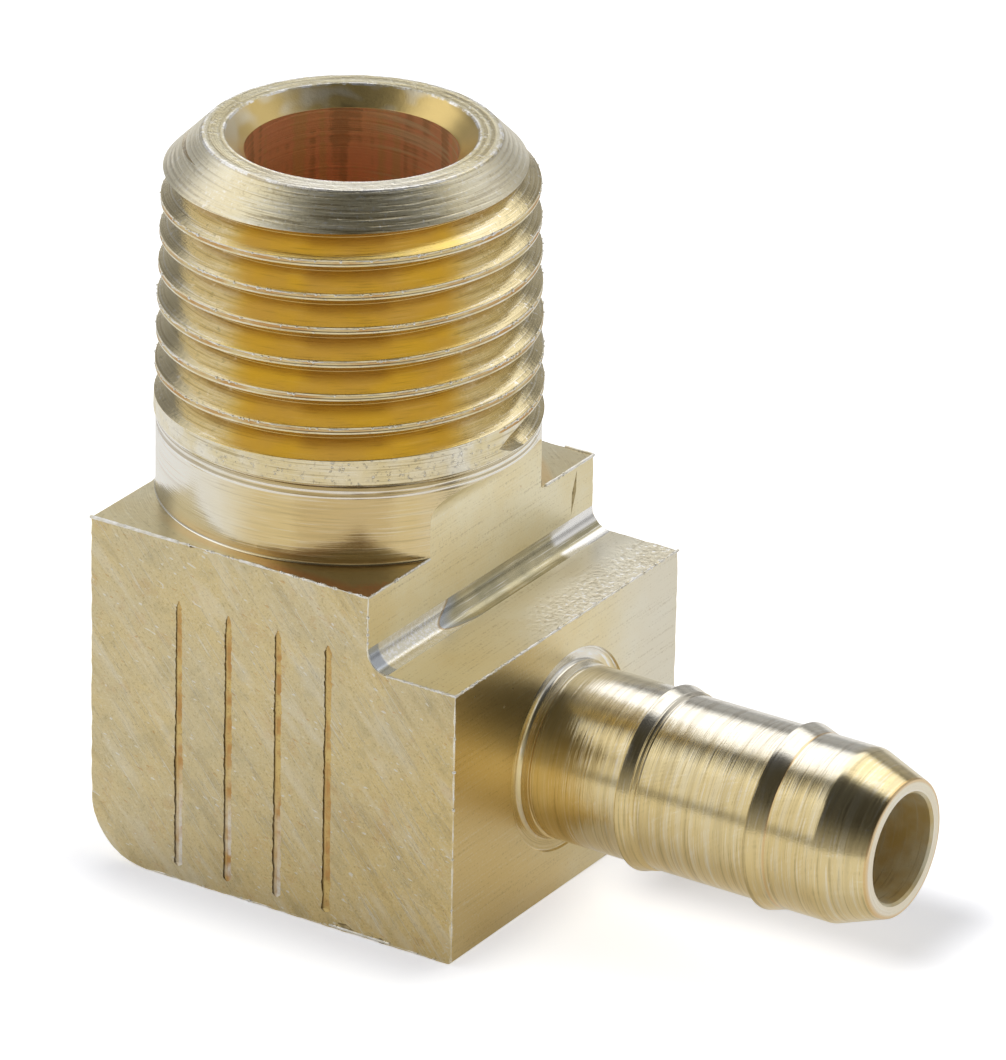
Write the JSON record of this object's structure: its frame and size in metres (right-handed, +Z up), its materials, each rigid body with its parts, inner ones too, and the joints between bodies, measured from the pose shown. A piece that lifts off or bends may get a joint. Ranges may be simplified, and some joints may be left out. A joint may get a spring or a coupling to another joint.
{
  "type": "barbed elbow",
  "caption": "Brass right-angle elbow: square block, tapered male pipe thread on top and a low-ridged hose barb out of one side, bored right through.",
  "frame": {"origin": "foot of the thread axis on the bottom face of the block", "axes": "+Z up the thread axis out of the threaded end, +X out along the barb, +Y away from the sawn face with the scribed lines"},
  "size_m": [0.0227, 0.0111, 0.0202],
  "materials": {
    "brass": "bare yellow brass as machined: satin sawn faces, fine turning lines on the thread, neck and barb"
  },
  "bodies": {
    "root": {"barbed_elbow": "brass"}
  },
  "joints": []
}
